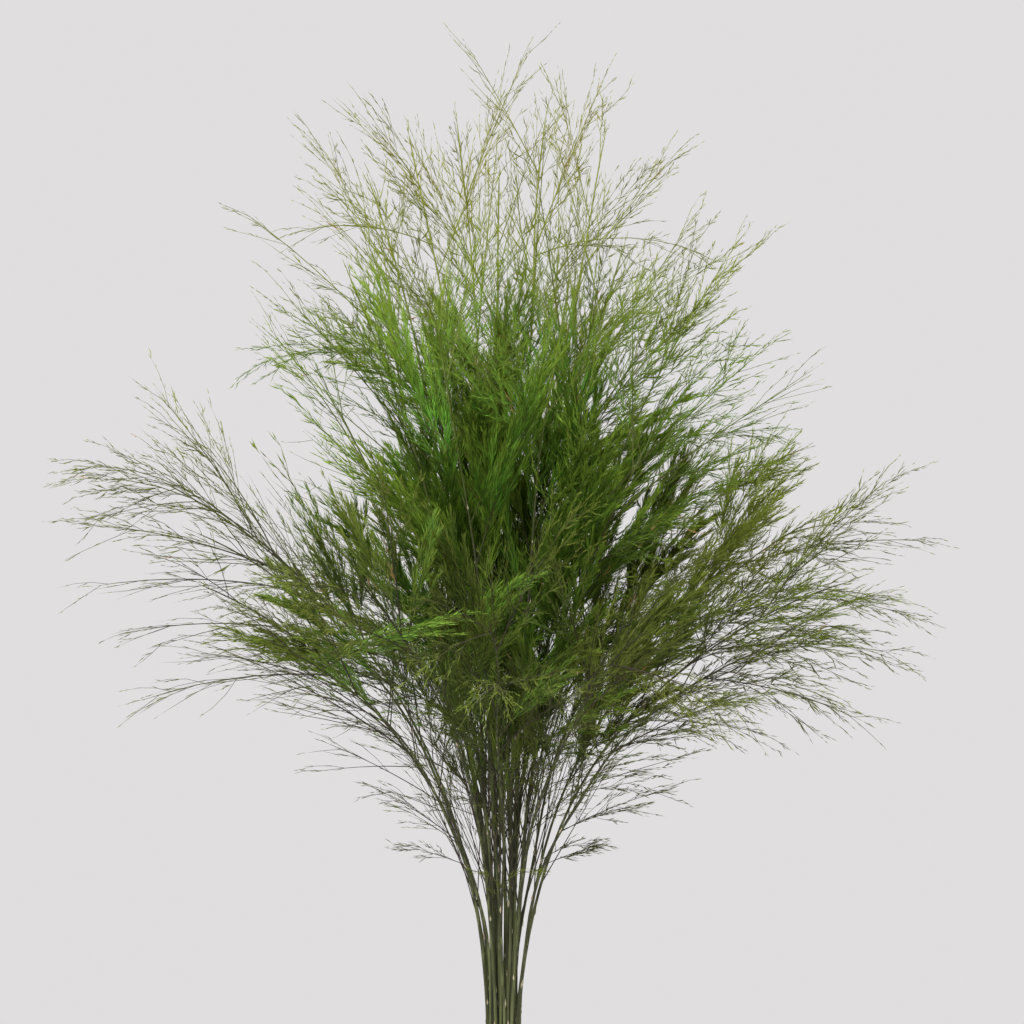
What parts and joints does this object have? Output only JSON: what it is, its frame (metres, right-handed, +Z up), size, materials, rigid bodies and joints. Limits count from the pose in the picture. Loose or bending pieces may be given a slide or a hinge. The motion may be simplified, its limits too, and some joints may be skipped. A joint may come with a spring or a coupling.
{
  "type": "potted tree fern",
  "caption": "Clump of slender upright stems with feathery needle-leaved sprays, rooted in soil in a plain tapered pot.",
  "frame": {"origin": "centre of the pot's flat base, on the surface that it stands on", "axes": "+Z up along the pot's axis, +Y away from the viewer, +X to the viewer's right"},
  "size_m": [0.6489, 0.5897, 0.9555],
  "materials": {
    "pot": "matt, fine grain",
    "soil": "damp dark potting soil, bark and peat crumbs",
    "upper_foliage": "yellow-green needles on wiry olive stems",
    "middle_foliage": "fresh green needles on wiry olive stems",
    "outer_foliage": "deep olive green needles on wiry olive stems"
  },
  "bodies": {
    "root": {"pot": "pot", "soil": "soil", "leafy_stem_01": "upper_foliage", "leafy_stem_02": "upper_foliage", "leafy_stem_03": "upper_foliage", "leafy_stem_04": "upper_foliage", "leafy_stem_05": "upper_foliage", "leafy_stem_06": "middle_foliage", "leafy_stem_07": "middle_foliage", "leafy_stem_08": "middle_foliage", "leafy_stem_09": "middle_foliage", "leafy_stem_10": "middle_foliage", "leafy_stem_11": "middle_foliage", "leafy_stem_12": "middle_foliage", "leafy_stem_13": "middle_foliage", "leafy_stem_14": "middle_foliage", "leafy_stem_15": "middle_foliage", "leafy_stem_16": "outer_foliage", "leafy_stem_17": "outer_foliage", "leafy_stem_18": "outer_foliage", "leafy_stem_19": "outer_foliage", "leafy_stem_20": "outer_foliage", "leafy_stem_21": "outer_foliage", "leafy_stem_22": "outer_foliage", "leafy_stem_23": "outer_foliage", "leafy_stem_24": "outer_foliage", "leafy_stem_25": "outer_foliage", "leafy_stem_26": "outer_foliage", "leafy_stem_27": "outer_foliage", "leafy_stem_28": "outer_foliage"}
  },
  "joints": []
}
